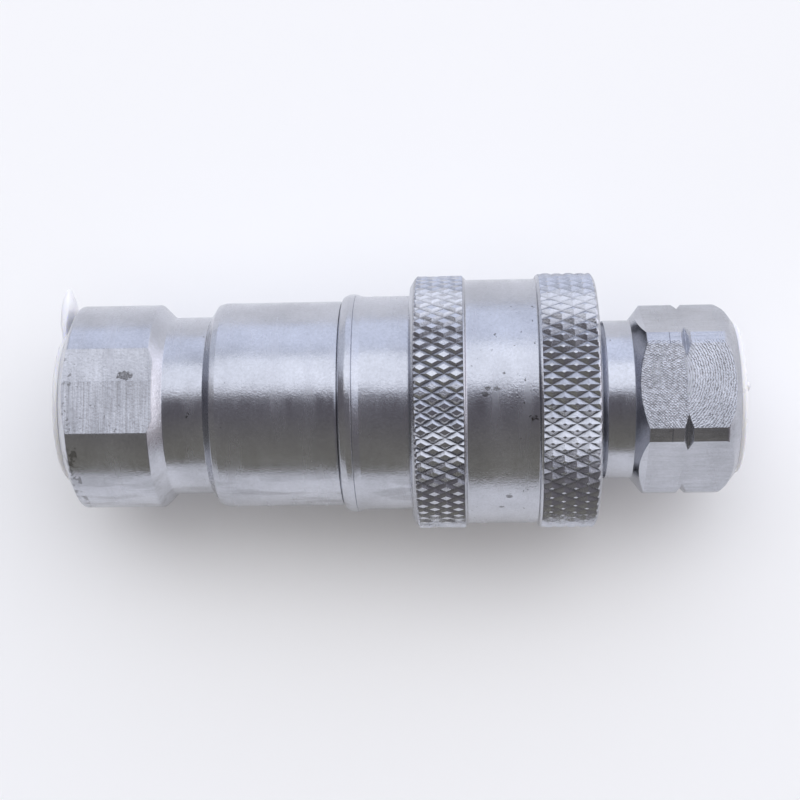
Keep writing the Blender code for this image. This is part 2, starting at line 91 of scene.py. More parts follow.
def span(node):
    """The stations at which a CAD node starts and ends."""
    low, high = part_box(node)
    return low.x / MM - ORIGIN, high.x / MM - ORIGIN


def radius_of(node):
    """The radius of a CAD node about the axis."""
    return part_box(node)[1].z / MM


NIPPLE_FACE = 105.2
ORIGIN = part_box("male_body")[1].x / MM - NIPPLE_FACE


def axial(station):
    """X in metres of a station in millimetres."""
    return (ORIGIN + station) * MM


# ---------------------------------------------------------------- meshes

def rounded(outline):
    """Replaces each (station, radius, fillet) corner of a closed outline by an arc of that fillet."""
    points = []
    count = len(outline)
    for i, corner in enumerate(outline):
        here = np.array(corner[:2], float)
        fillet = corner[2] if len(corner) > 2 else 0.0
        if fillet == 0.0:
            points.append(tuple(here))
            continue
        before = np.array(outline[i - 1][:2], float) - here
        after = np.array(outline[(i + 1) % count][:2], float) - here
        a = before / np.linalg.norm(before)
        b = after / np.linalg.norm(after)
        half = 0.5 * math.acos(max(-1.0, min(1.0, float(a @ b))))
        reach = min(fillet / math.tan(half), 0.49 * np.linalg.norm(before), 0.49 * np.linalg.norm(after))
        radius = reach * math.tan(half)
        centre = here + (a + b) / np.linalg.norm(a + b) * radius / math.sin(half)
        start = here + a * reach - centre
        turn = math.pi - 2 * half
        if start[0] * (b[1] - a[1]) - start[1] * (b[0] - a[0]) < 0:
            turn = -turn
        for k in range(FILLET_STEPS + 1):
            angle = turn * k / FILLET_STEPS
            c, s = math.cos(angle), math.sin(angle)
            points.append((centre[0] + c * start[0] - s * start[1], centre[1] + s * start[0] + c * start[1]))
    return points


def new_object(name, verts, faces, sharp_degrees=16.0):
    mesh = bpy.data.meshes.new(name)
    mesh.from_pydata(verts, [], faces)
    bm = bmesh.new()
    bm.from_mesh(mesh)
    bmesh.ops.remove_doubles(bm, verts=bm.verts, dist=1e-7)
    bmesh.ops.recalc_face_normals(bm, faces=bm.faces)
    bm.to_mesh(mesh)
    bm.free()
    mesh.shade_smooth()
    mesh.set_sharp_from_angle(angle=math.radians(sharp_degrees))
    obj = bpy.data.objects.new(name, mesh)
    bpy.context.collection.objects.link(obj)
    return obj


def turned(name, outline, around=AROUND):
    """A closed outline turned about the axis."""
    points = rounded(outline)
    rows = len(points)
    verts = []
    for i in range(around):
        angle = math.radians(-90.0 + 360.0 * i / around)
        verts += [(axial(s), r * MM * math.cos(angle), r * MM * math.sin(angle)) for s, r in points]
    faces = []
    for i in range(around):
        a, b = i * rows, ((i + 1) % around) * rows
        for k in range(rows):
            n = (k + 1) % rows
            if points[k][1] > 0 or points[n][1] > 0:
                faces.append((a + k, a + n, b + n, b + k))
    return new_object(name, verts, faces)


def section_of(node):
    """The outline that a CAD node was turned from, read from its first column of points."""
    bm = bmesh.new()
    bm.from_mesh(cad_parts[node].data)
    bmesh.ops.remove_doubles(bm, verts=bm.verts, dist=1e-7)
    wanted = {v for v in bm.verts if abs(v.co.y) < 2e-6 and v.co.z < 1e-7}
    links = {v: [e.other_vert(v) for e in v.link_edges if e.other_vert(v) in wanted] for v in wanted}
    ends = [v for v in wanted if len(links[v]) == 1]
    start = max(ends or wanted, key=lambda v: (-v.co.x, v.co.z))
    path = [start]
    while True:
        following = [v for v in links[path[-1]] if v not in path]
        if not following:
            break
        path.append(min(following, key=lambda v: (v.co - path[-1].co).length))
    outline = [(v.co.x / MM - ORIGIN, abs(v.co.z) / MM) for v in path]
    if ends:
        outline = [(outline[0][0], 0.0)] + outline + [(outline[-1][0], 0.0)]
    bm.free()
    return outline


def apply_cut(obj, cutter, operation="DIFFERENCE", sharp_degrees=16.0):
    """Cuts obj for good and removes the cutter."""
    modifier = obj.modifiers.new("cut", "BOOLEAN")
    modifier.operation = operation
    modifier.solver = "EXACT"
    modifier.object = cutter
    bpy.context.view_layer.update()
    evaluated = obj.evaluated_get(bpy.context.evaluated_depsgraph_get())
    mesh = bpy.data.meshes.new_from_object(evaluated)
    obj.modifiers.clear()
    obj.data = mesh
    mesh.shade_smooth()
    mesh.set_sharp_from_angle(angle=math.radians(sharp_degrees))
    bpy.data.objects.remove(cutter, do_unlink=True)
    return obj


def stand_for(obj, node, body, material):
    """obj takes a CAD node's place, rides on its body and gets its material."""
    obj.data.materials.clear()
    obj.data.materials.append(material)
    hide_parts(node)
    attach(obj, body)
    return obj


# ---------------------------------------------------------------- materials

def new_material(name):
    material = bpy.data.materials.new(name)
    material.use_nodes = True
    tree = material.node_tree
    return material, tree, tree.nodes["Principled BSDF"]


def node(tree, kind, **settings):
    made = tree.nodes.new(kind)
    for key, value in settings.items():
        setattr(made, key, value)
    return made


def stretched(tree, scale):
    """Object coordinates, stretched by a scale for each axis."""
    where = node(tree, "ShaderNodeTexCoord")
    mapping = node(tree, "ShaderNodeMapping")
    mapping.inputs["Scale"].default_value = scale
    tree.links.new(where.outputs["Object"], mapping.inputs["Vector"])
    return mapping.outputs["Vector"]


def noise(tree, scale, detail=3.0, roughness=0.5):
    made = node(tree, "ShaderNodeTexNoise")
    made.inputs["Scale"].default_value = 1.0
    made.inputs["Detail"].default_value = detail
    made.inputs["Roughness"].default_value = roughness
    tree.links.new(stretched(tree, scale), made.inputs["Vector"])
    return made.outputs["Fac"]


def ramp(tree, value, stops):
    """A colour ramp from (position, colour) stops."""
    made = node(tree, "ShaderNodeValToRGB")
    elements = made.color_ramp.elements
    while len(elements) < len(stops):
        elements.new(0.5)
    for element, (position, color) in zip(elements, stops):
        element.position = position
        element.color = (*color, 1.0)
    tree.links.new(value, made.inputs["Fac"])
    return made.outputs["Color"]


def fitted(tree, value, low, high):
    """Value, a noise from 0 to 1, brought to the range from low to high."""
    made = node(tree, "ShaderNodeMapRange")
    made.inputs["From Min"].default_value = 0.3
    made.inputs["From Max"].default_value = 0.7
    made.inputs["To Min"].default_value = low
    made.inputs["To Max"].default_value = high
    tree.links.new(value, made.inputs["Value"])
    return made.outputs["Result"]


def bumps(tree, shader, heights):
    """Adds (height socket, depth in millimetres) bumps one on another."""
    normal = None
    for height, depth in heights:
        bump = node(tree, "ShaderNodeBump")
        bump.inputs["Distance"].default_value = depth * MM
        bump.inputs["Strength"].default_value = 1.0
        tree.links.new(height, bump.inputs["Height"])
        if normal is not None:
            tree.links.new(normal, bump.inputs["Normal"])
        normal = bump.outputs["Normal"]
    tree.links.new(normal, shader.inputs["Normal"])


def coordinate(tree, axis):
    """One of the object coordinates in metres."""
    where = node(tree, "ShaderNodeTexCoord")
    parts = node(tree, "ShaderNodeSeparateXYZ")
    tree.links.new(where.outputs["Object"], parts.inputs["Vector"])
    return parts.outputs[axis]


def beyond(tree, value, threshold, operation="GREATER_THAN"):
    """One where a value is past a threshold, and zero elsewhere."""
    made = node(tree, "ShaderNodeMath", operation=operation)
    made.inputs[1].default_value = threshold
    tree.links.new(value, made.inputs[0])
    return made.outputs[0]


def combined(tree, first, second):
    """The product of two values."""
    made = node(tree, "ShaderNodeMath", operation="MULTIPLY")
    tree.links.new(first, made.inputs[0])
    tree.links.new(second, made.inputs[1])
    return made.outputs[0]


def size_of(tree, value):
    """A value without its sign."""
    made = node(tree, "ShaderNodeMath", operation="ABSOLUTE")
    tree.links.new(value, made.inputs[0])
    return made.outputs[0]


def darkened_by_grime_and_shade(tree, color, dirt_and_shade, amount):
    """Colour darkened toward brown where the mask, a value from 0 to 1, is high: it paints grime, and also
    painted shade in the knurl's grooves and the hexagon's mill marks.
    """
    mix = node(tree, "ShaderNodeMix", data_type="RGBA")
    mix.inputs["B"].default_value = (0.045, 0.038, 0.032, 1.0)
    share = node(tree, "ShaderNodeMath", operation="MULTIPLY")
    share.inputs[1].default_value = amount
    tree.links.new(dirt_and_shade, share.inputs[0])
    tree.links.new(share.outputs[0], mix.inputs["Factor"])
    tree.links.new(color, mix.inputs["A"])
    return mix.outputs["Result"]


def specks(tree, scale, coverage):
    """One in scattered spots: coverage is the noise level below which a spot starts."""
    spots = noise(tree, (scale, scale, scale), 5.0, 0.65)
    made = node(tree, "ShaderNodeMapRange")
    made.inputs["From Min"].default_value = coverage
    made.inputs["From Max"].default_value = coverage - 0.03
    tree.links.new(spots, made.inputs["Value"])
    return made.outputs["Result"]


def disc(tree, station, across, height, radius):
    """One within a radius in millimetres of a spot, longer along X, mottled and with a ragged rim."""
    length = 0.65
    gap = node(tree, "ShaderNodeVectorMath", operation="DISTANCE")
    gap.inputs[1].default_value = (length * axial(station), across * MM, height * MM)
    tree.links.new(stretched(tree, (length, 1.0, 1.0)), gap.inputs[0])
    ragged = node(tree, "ShaderNodeMath", operation="MULTIPLY_ADD")
    ragged.inputs[1].default_value = 1.6 * radius * MM
    tree.links.new(noise(tree, (2100, 2100, 2100), 3.0, 0.6), ragged.inputs[0])
    tree.links.new(gap.outputs["Value"], ragged.inputs[2])
    inside = beyond(tree, ragged.outputs[0], 1.6 * radius * MM, "LESS_THAN")
    return combined(tree, inside, fitted(tree, noise(tree, (2900, 2900, 2900)), 0.45, 1.0))


def zinc(name, tint=(0.57, 0.585, 0.64), roughness=0.22, ring_depth=0.0015, grain_depth=0.020, marks=None):
    """Zinc plating on machined steel: cloudy tone, fine grain, faint turning rings, pits and specks.

    Marks is a function of (tree) that returns extra (height, depth) bumps and a list of darkening masks: dirt,
    and painted shade in grooves and mill marks.
    """
    material, tree, shader = new_material(name)
    shader.inputs["Metallic"].default_value = 1.0
    clouds = noise(tree, (110, 110, 110), 5.0, 0.6)
    color = ramp(tree, clouds, [(0.30, tuple(0.84 * c for c in tint)), (0.55, tint),
                                (0.72, tuple(1.08 * c for c in tint))])
    mottle = fitted(tree, noise(tree, (2400, 2400, 2400), 3.0, 0.7), 0.0, 1.0)
    color = darkened_by_grime_and_shade(tree, color, mottle, 0.16)
    color = darkened_by_grime_and_shade(tree, color, specks(tree, 620, 0.30), 0.75)
    extra, dirt_and_shade = marks(tree) if marks else ([], [])
    # the masks darken the colour; some are dirt and some are painted shade
    for mask, amount in dirt_and_shade:
        color = darkened_by_grime_and_shade(tree, color, mask, amount)
    tree.links.new(color, shader.inputs["Base Color"])
    smears = noise(tree, (420, 60, 60), 4.0, 0.6)
    tree.links.new(fitted(tree, smears, roughness - 0.06, roughness + 0.09), shader.inputs["Roughness"])
    waves = noise(tree, (70, 70, 70), 2.0, 0.4)
    rings = noise(tree, (3600, 40, 40), 2.0, 0.6)
    grain = noise(tree, (2900, 2900, 2900), 3.0, 0.6)
    orange_peel = noise(tree, (1300, 1300, 1300), 2.0, 0.5)
    bumps(tree, shader, [(waves, 0.055), (rings, ring_depth), (orange_peel, 0.4 * grain_depth),
                         (grain, grain_depth)] + extra)
    return material


def collar_marks(tree):
    """Milling lines across the wrench flats, stronger on the -Y part, and the dirt of the collar."""
    on_flat = combined(tree, beyond(tree, size_of(tree, coordinate(tree, "Z")), (WRENCH_FLAT_Z - 0.04) * MM),
                       beyond(tree, coordinate(tree, "X"), axial(WRENCH_FLAT_END + 0.1), "LESS_THAN"))
    lower = beyond(tree, coordinate(tree, "Y"), 0.0015, "LESS_THAN")
    lines = fitted(tree, noise(tree, (2300, 110, 110), 2.0, 0.5), 0.0, 1.0)
    lines = combined(tree, lines, combined(tree, on_flat, lower))
    faint = fitted(tree, noise(tree, (1700, 260, 260), 3.0, 0.6), 0.0, 1.0)
    faint = combined(tree, faint, on_flat)
    pit = disc(tree, 12.0, 2.3, WRENCH_FLAT_Z, 0.85)
    scars = combined(tree, on_flat, specks(tree, 1100, 0.345))
    edge = combined(tree, on_flat, beyond(tree, coordinate(tree, "X"), axial(3.9), "LESS_THAN"))
    edge_dirt = combined(tree, edge, specks(tree, 1400, 0.42))
    chamfer = combined(tree, beyond(tree, coordinate(tree, "X"), axial(4.6), "LESS_THAN"),
                       beyond(tree, coordinate(tree, "Y"), -0.0085, "LESS_THAN"))
    chamfer_dirt = combined(tree, chamfer, specks(tree, 900, 0.48))
    return ([(lines, 0.030), (faint, 0.012), (pit, -0.08)],
            [(lines, 0.26), (faint, 0.15), (pit, 0.72), (scars, 0.5), (edge_dirt, 0.5), (chamfer_dirt, 0.5),
             (smudges(tree), 0.25)])


def smudges(tree):
    """Long dull patches low on the -Y side."""
    patches = noise(tree, (95, 420, 420), 4.0, 0.6)
    made = node(tree, "ShaderNodeMapRange")
    made.inputs["From Min"].default_value = 0.50
    made.inputs["From Max"].default_value = 0.38
    tree.links.new(patches, made.inputs["Value"])
    low = node(tree, "ShaderNodeMapRange")
    low.inputs["From Min"].default_value = -0.0100
    low.inputs["From Max"].default_value = -0.0150
    tree.links.new(coordinate(tree, "Y"), low.inputs["Value"])
    return combined(tree, made.outputs["Result"], low.outputs["Result"])


def barrel_marks(tree):
    """Dull patches and two small dark spots."""
    first = disc(tree, 29.0, -11.5, 11.4, 0.22)
    second = disc(tree, 33.3, -11.9, 11.0, 0.28)
    return [], [(smudges(tree), 0.25), (first, 0.8), (second, 0.8)]


def swirl(tree, station, across, spacing):
    """Arcs round a point of the hexagon's face, as a face mill leaves."""
    where = node(tree, "ShaderNodeTexCoord")
    mapping = node(tree, "ShaderNodeMapping")
    mapping.inputs["Location"].default_value = (-axial(station), -across * MM, 0.0)
    mapping.inputs["Scale"].default_value = (1.0, 1.0, 0.0)
    tree.links.new(where.outputs["Object"], mapping.inputs["Vector"])
    wave = node(tree, "ShaderNodeTexWave", wave_type="RINGS", rings_direction="SPHERICAL")
    wave.inputs["Scale"].default_value = 0.314 / (spacing * MM)
    wave.inputs["Distortion"].default_value = 5.0
    wave.inputs["Detail"].default_value = 2.0
    wave.inputs["Detail Scale"].default_value = 3.0
    tree.links.new(mapping.outputs["Vector"], wave.inputs["Vector"])
    return wave.outputs["Fac"]


def painted_mark_shade(tree, pattern, where):
    """Painted shade in the bottoms of a pattern of marks, broken up into dashes."""
    broken = fitted(tree, noise(tree, (1500, 1500, 1500), 2.0), 0.1, 1.0)
    made = node(tree, "ShaderNodeMapRange")
    made.inputs["From Min"].default_value = 0.42
    made.inputs["From Max"].default_value = 0.12
    tree.links.new(pattern, made.inputs["Value"])
    return combined(tree, combined(tree, made.outputs["Result"], broken), where)


def hexagon_marks(tree):
    """Face-mill arcs on the two hexagon faces square to Z, with painted shade in their bottoms, and fine
    lengthwise streaks on the others.
    """
    limit = (HEX_APOTHEM - 0.14) * MM
    on_face = beyond(tree, size_of(tree, coordinate(tree, "Z")), limit)
    off_face = beyond(tree, size_of(tree, coordinate(tree, "Z")), limit, "LESS_THAN")
    near = combined(tree, on_face, beyond(tree, coordinate(tree, "X"), axial(HEX_GROOVE), "LESS_THAN"))
    far = combined(tree, on_face, beyond(tree, coordinate(tree, "X"), axial(HEX_GROOVE)))
    one_way = swirl(tree, 83.0, -15.0, 0.34)
    other_way = swirl(tree, 106.0, -16.0, 0.34)
    wavy = swirl(tree, 92.0, 1.0, 0.38)
    crossed = combined(tree, one_way, other_way)
    hexagon = beyond(tree, coordinate(tree, "X"), axial(91.2))
    streaks = fitted(tree, noise(tree, (240, 2100, 2100), 4.0, 0.65), 0.0, 1.0)
    streaks = combined(tree, streaks, combined(tree, off_face, hexagon))
    return ([(combined(tree, crossed, near), 0.030), (combined(tree, wavy, far), 0.026), (streaks, 0.020)],
            # painted shade: the bottoms of the mill arcs are darkened in colour
            [(painted_mark_shade(tree, crossed, near), 0.62), (painted_mark_shade(tree, wavy, far), 0.66), (streaks, 0.20)])


def sleeve_marks(tree):
    """Painted shade with patchy grime in the knurl's grooves, and a few spots on the waist."""
    squashed = stretched(tree, (0.0, 1.0, 1.0))
    length = node(tree, "ShaderNodeVectorMath", operation="LENGTH")
    tree.links.new(squashed, length.inputs[0])
    made = node(tree, "ShaderNodeMapRange")
    made.inputs["From Min"].default_value = 0.0192
    made.inputs["From Max"].default_value = 0.0202
    tree.links.new(length.outputs["Value"], made.inputs["Value"])
    # painted shade: the groove bottoms and lower flanks of both knurled bands are darkened by their radius
    groove_shade = ramp(tree, made.outputs["Result"], [(0.14, (0, 0, 0)), (0.20, (1, 1, 1)), (0.40, (0.9, 0.9, 0.9)),
                                               (0.56, (0, 0, 0))])
    patches = fitted(tree, noise(tree, (230, 230, 230), 4.0, 0.6), 0.15, 1.0)
    # the painted groove shade, made patchy by noise like grime
    groove_shade_and_grime = combined(tree, groove_shade, patches)
    on_waist = beyond(tree, length.outputs["Value"], 0.01932, "LESS_THAN")
    waist = combined(tree, on_waist, specks(tree, 800, 0.335))
    spots = [(disc(tree, station, across, math.sqrt(WAIST_R ** 2 - across ** 2), radius), 0.8)
             for station, across, radius in ((66.5, -2.1, 0.42), (67.0, -1.3, 0.36), (68.2, -1.35, 0.40),
                                             (69.9, -16.3, 0.45), (68.9, -17.6, 0.3))]
    return [], [(groove_shade_and_grime, 0.45), (waist, 0.9)] + spots


def dark_rubber(name):
    material, tree, shader = new_material(name)
    black = ramp(tree, noise(tree, (400, 400, 400)), [(0.3, (0.012, 0.012, 0.013)), (0.7, (0.03, 0.03, 0.032))])
    tree.links.new(black, shader.inputs["Base Color"])
    shader.inputs["Roughness"].default_value = 0.45
    bumps(tree, shader, [(noise(tree, (3000, 3000, 3000)), 0.004)])
    return material


def milky_plastic(name):
    material, tree, shader = new_material(name)
    mottled = noise(tree, (160, 160, 160), 3.0)
    tree.links.new(ramp(tree, mottled, [(0.3, (0.90, 0.90, 0.98)), (0.7, (0.96, 0.95, 1.0))]),
                   shader.inputs["Base Color"])
    tree.links.new(fitted(tree, noise(tree, (500, 500, 500)), 0.26, 0.40), shader.inputs["Roughness"])
    shader.inputs["Subsurface Weight"].default_value = 0.6
    shader.inputs["Subsurface Radius"].default_value = (0.0016, 0.0017, 0.0022)
    shader.inputs["Transmission Weight"].default_value = 0.12
    bumps(tree, shader, [(noise(tree, (900, 900, 900)), 0.004)])
    return material


# ---------------------------------------------------------------- socket

THREAD_CREST_R = 9.32
THREAD_ROOT_R = 10.48
THREAD_PITCH = 1.814
THREAD_TURNS = 6


def thread_section(start, direction):
    """Crests and roots of the port thread, from its start inward."""
    points = []
    flat = 0.16 * THREAD_PITCH
    for i in range(THREAD_TURNS):
        for offset, radius in ((-flat / 2, THREAD_CREST_R), (flat / 2, THREAD_CREST_R),
                               ((THREAD_PITCH - flat) / 2, THREAD_ROOT_R),
                               ((THREAD_PITCH + flat) / 2, THREAD_ROOT_R)):
            points.append((start + direction * (i * THREAD_PITCH + offset), radius))
    return points


def socket_adapter():
    face, end = span("female_adapter")
    outer = [(face, 10.9), (face, 12.7, 0.25), (3.0, 16.1, 0.5), (15.5, 16.1, 0.35), (17.55, 14.05, 0.3),
             (23.75, 14.05, 0.15), (25.0, 15.95, 0.3), (25.9, 16.2, 0.3), (end - 0.15, 16.2, 0.1),
             (end + 0.2, 16.1, 0.1)]
    screw_bore = [(end + 0.2, 14.9), (30.3, 14.9), (30.3, 12.9), (24.0, 12.9), (24.0, 8.0, 0.3)]
    inner = [(16.8, 8.0), (15.5, 9.32)]
    outline = outer + screw_bore + inner + thread_section(face + 1.5, 1)[::-1]
    body = turned("socket_adapter", outline)
    bm = bmesh.new()
    reach = 0.040
    for side in (1, -1):
        middle = side * (WRENCH_FLAT_Z * MM + reach / 2)
        place = Matrix.Translation((axial(0.5 * WRENCH_FLAT_END), 0, middle))
        size = Matrix.Diagonal((WRENCH_FLAT_END * MM, reach, reach, 1.0))
        bmesh.ops.create_cube(bm, size=1.0, matrix=place @ size)
    cutter = bpy.data.meshes.new("cutter")
    bm.to_mesh(cutter)
    bm.free()
    cutter = bpy.data.objects.new("cutter", cutter)
    bpy.context.collection.objects.link(cutter)
    return apply_cut(body, cutter)


def socket_barrel():
    start, end = span("female_barrel")
    bead = 44.4
    outline = [(start, 14.6), (bead, 14.6), (bead, 14.95), (bead + 0.95, 14.95), (bead + 0.95, 16.0),
               (bead, 16.0), (bead, 16.3, 0.1), (bead + 0.25, 16.85, 0.2), (bead + 1.2, 17.28, 0.8),
               (bead + 2.05, 17.3, 0.1), (bead + 2.15, 17.16), (bead + 2.25, 17.26, 0.1), (47.65, 16.9, 0.5),
               (55.6, 16.9, 0.1), (55.6, 15.3), (70.6, 15.3),
               (70.6, 16.2, 0.1), (77.85, 16.2, 0.1), (77.85, 15.3), (79.35, 15.3), (79.35, 16.2, 0.1),
               (end - 0.5, 16.2, 0.2), (end, 15.7, 0.2), (end, 13.3, 0.2), (end - 0.7, 12.6, 0.2),
               (68.7, 12.6, 0.1), (68.7, 14.0), (65.1, 14.0), (65.1, 12.6, 0.1), (55.3, 12.6), (55.3, 13.25),
               (start, 13.25)]
    body = turned("socket_barrel", outline)
    balls = [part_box(name) for name in sorted(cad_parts) if name.startswith("locking_ball_")]
    bm = bmesh.new()
    for i in range(len(balls)):
        turn = Matrix.Rotation(2 * math.pi * i / len(balls), 4, "X")
        place = Matrix.Translation((0.5 * (balls[0][0].x + balls[0][1].x), 0, 0.0145))
        bmesh.ops.create_cone(bm, cap_ends=True, segments=48, radius1=BALL_HOLE_R * MM,
                              radius2=BALL_HOLE_R * MM, depth=0.007, matrix=turn @ place)
    cutter = bpy.data.meshes.new("cutter")
    bm.to_mesh(cutter)
    bm.free()
    cutter = bpy.data.objects.new("cutter", cutter)
    bpy.context.collection.objects.link(cutter)
    return apply_cut(body, cutter)


# ---------------------------------------------------------------- locking sleeve

def knurl_shell(name, origin, start, end, top, depth, flank, limit, seed):
    """Raised diamonds between two stations, as a thin shell whose ends turn in below the grooves.

    Helical coordinates a and b run across the two sets of grooves; a groove lies where either is whole.
    Limit gives the greatest radius at a station, and so bevels the band's edges.
    """
    rng = np.random.default_rng(seed)
    steps = (0.0, flank, 1.0 - flank, 1.0)
    heights = (0.0, 1.0, 1.0, 0.0)
    reach = int(2 * (end - origin) / KNURL_PITCH) + 2
    wear = rng.uniform(-0.09, 0.03, (KNURL_DIAMONDS, reach + 4))
    bm = bmesh.new()
    for i in range(KNURL_DIAMONDS):
        for j in range(i - reach, i + 2):
            corners = []
            for p in range(4):
                for q in range(4):
                    a = i + steps[p]
                    b = j + steps[q]
                    height = min(heights[p], heights[q])
                    radius = top - depth * (1.0 - height) + height * wear[i, i - j + 2]
                    angle = math.pi * (a + b) / KNURL_DIAMONDS
                    x = axial(origin + 0.5 * (a - b) * KNURL_PITCH)
                    y, z = radius * MM * math.cos(angle), radius * MM * math.sin(angle)
                    corners.append(bm.verts.new((x, y, z)))
            for p in range(3):
                for q in range(3):
                    k = 4 * p + q
                    low, right, far, up = corners[k], corners[k + 1], corners[k + 5], corners[k + 4]
                    if p == q and p != 1:
                        bm.faces.new((low, right, far))
                        bm.faces.new((low, far, up))
                    elif p + q == 2 and p != 1:
                        bm.faces.new((low, right, up))
                        bm.faces.new((right, far, up))
                    else:
                        bm.faces.new((low, right, far, up))
    bmesh.ops.remove_doubles(bm, verts=bm.verts, dist=2e-6)
    for station, clear_low, clear_high in ((start, True, False), (end, False, True)):
        bmesh.ops.bisect_plane(bm, geom=bm.verts[:] + bm.edges[:] + bm.faces[:],
                               plane_co=(axial(station), 0, 0), plane_no=(1, 0, 0),
                               clear_inner=clear_low, clear_outer=clear_high)
    for k in range(1, 7):
        for station in (start + 0.14 * k, end - 0.14 * k):
            bmesh.ops.bisect_plane(bm, geom=bm.verts[:] + bm.edges[:] + bm.faces[:],
                                   plane_co=(axial(station), 0, 0), plane_no=(1, 0, 0))
    for vert in bm.verts:
        radius = math.hypot(vert.co.y, vert.co.z)
        allowed = limit(vert.co.x / MM - ORIGIN) * MM
        if radius > allowed:
            vert.co.y *= allowed / radius
            vert.co.z *= allowed / radius
    rim = [e for e in bm.edges if e.is_boundary]
    turned_in = bmesh.ops.extrude_edge_only(bm, edges=rim)["geom"]
    inner = (top - depth - 0.5) * MM
    for vert in turned_in:
        if isinstance(vert, bmesh.types.BMVert):
            radius = math.hypot(vert.co.y, vert.co.z)
            vert.co.y *= inner / radius
            vert.co.z *= inner / radius
    mesh = bpy.data.meshes.new(name)
    bmesh.ops.recalc_face_normals(bm, faces=bm.faces)
    bm.to_mesh(mesh)
    bm.free()
    mesh.shade_smooth()
    mesh.set_sharp_from_angle(angle=math.radians(9.0))
    shell = bpy.data.objects.new(name, mesh)
    bpy.context.collection.objects.link(shell)
    return shell


def locking_sleeve():
    """The turned sleeve and its two knurled bands, joined in one object."""
    start, end = span("locking_sleeve")
    first_r = 19.95
    second_r = radius_of("locking_sleeve")
    depth_1 = 0.40
    depth_2 = 0.52
    end_1 = 63.35
    start_2 = 75.15

    def bevel_left(station):
        return 19.05 + 1.15 * (station - start - 0.3) if station < start + 1.2 else first_r

    def bevel_right(station):
        return second_r - 1.15 * max(0.0, (station - end + 0.95) / 0.95) ** 2

    base_1 = first_r - depth_1 - 0.06
    base_2 = second_r - depth_2 - 0.06
    outline = [(start, 17.2, 0.2), (start, 18.4, 0.2), (start + 0.35, 19.0, 0.2), (start + 0.75, base_1),
               (end_1 - 0.05, base_1), (end_1 + 0.02, 19.72, 0.05), (end_1 + 0.25, 19.6, 0.1),
               (end_1 + 0.5, WAIST_R, 0.2), (start_2 - 0.6, WAIST_R, 0.2), (start_2 - 0.35, 19.8, 0.15),
               (start_2 - 0.02, 19.95, 0.05), (start_2 + 0.05, base_2), (end - 0.45, base_2),
               (end - 0.1, 18.95, 0.15), (end, 18.5, 0.1), (end, 18.0, 0.1), (end - 0.4, 17.7),
               (77.6, 17.7), (77.6, 16.5, 0.1), (70.6, 16.5, 0.1), (70.6, 17.2)]
    sleeve = turned("knurled_sleeve", outline)
    bands = [knurl_shell("band_1", 55.16, start + 0.55, end_1, first_r, depth_1, 0.27, bevel_left, 3),
             knurl_shell("band_2", 74.59, start_2, end - 0.1, second_r, depth_2, 0.40, bevel_right, 5)]
    with bpy.context.temp_override(active_object=sleeve, selected_editable_objects=[sleeve] + bands):
        bpy.ops.object.join()
    return sleeve


# ---------------------------------------------------------------- nipple

def nipple_body():
    face, end = span("male_body")
    nose = [(face, 7.75, 0.2), (face, 11.95, 0.05), (face + 0.3, 12.25, 0.1), (71.45, 12.25, 0.2),
            (72.8, 10.9, 0.3), (75.2, 10.9, 0.3), (76.55, 12.25, 0.2), (82.4, 12.25, 0.1),
            (83.05, 11.6, 0.1), (84.1, 11.6, 0.1), (85.2, 12.45, 0.2), (89.25, 12.45, 0.15)]
    scribed = 94.55
    back = [(91.15, 14.87, 0.15), (scribed - 0.07, 14.87), (scribed, 14.79), (scribed + 0.07, 14.87),
            (HEX_GROOVE - 0.72, 14.87, 0.06), (HEX_GROOVE, 14.05, 0.08), (HEX_GROOVE + 0.72, 14.87, 0.06),
            (102.9, 14.87, 0.9),
            (103.9, 14.0, 0.6), (end, 12.3, 0.3)]
    thread = thread_section(end - 0.9, -1)
    bore = [(92.6, THREAD_CREST_R), (92.6, 10.1), (91.2, 10.1), (91.2, THREAD_CREST_R),
            (87.7, THREAD_CREST_R), (87.7, 8.7), (66.0, 8.7), (65.0, 7.75, 0.2)]
    body = turned("nipple", nose + back + [(end, THREAD_ROOT_R + 0.2)] + thread + bore)
    hex_r = HEX_APOTHEM * MM / math.cos(math.pi / 6)
    verts = []
    for station in (89.2, end + 2.0):
        for radius in (hex_r, 2 * hex_r):
            for i in range(6):
                angle = math.radians(60 * i + HEX_TURN)
                verts.append((axial(station), radius * math.cos(angle), radius * math.sin(angle)))
    faces = []
    for a, b in ((0, 1), (1, 3), (3, 2), (2, 0)):
        for i in range(6):
            n = (i + 1) % 6
            faces.append((6 * a + i, 6 * a + n, 6 * b + n, 6 * b + i))
    cutter = new_object("cutter", verts, faces)
    return apply_cut(body, cutter)


# ---------------------------------------------------------------- dust plugs

def plug_section(seat, outward, tip):
    """A cup with a thin flange on its seat and a low crown, as a closed outline."""
    top = seat + outward * 0.95
    floor = seat - outward * 0.8
    return [(top + outward * 0.3, 0.0), (top + outward * 0.3, 6.0, 3.0), (top, 11.4, 0.5),
            (top - outward * 0.3, 11.8, 0.3), (seat + outward * 0.05, 11.8, 0.15), (seat, 11.6, 0.1),
            (seat, 9.0, 0.2), (tip + outward * 0.8, 9.0, 0.3), (tip, 8.5, 0.2), (tip, 7.6, 0.2),
            (floor, 7.6, 0.5), (floor, 0.0)]


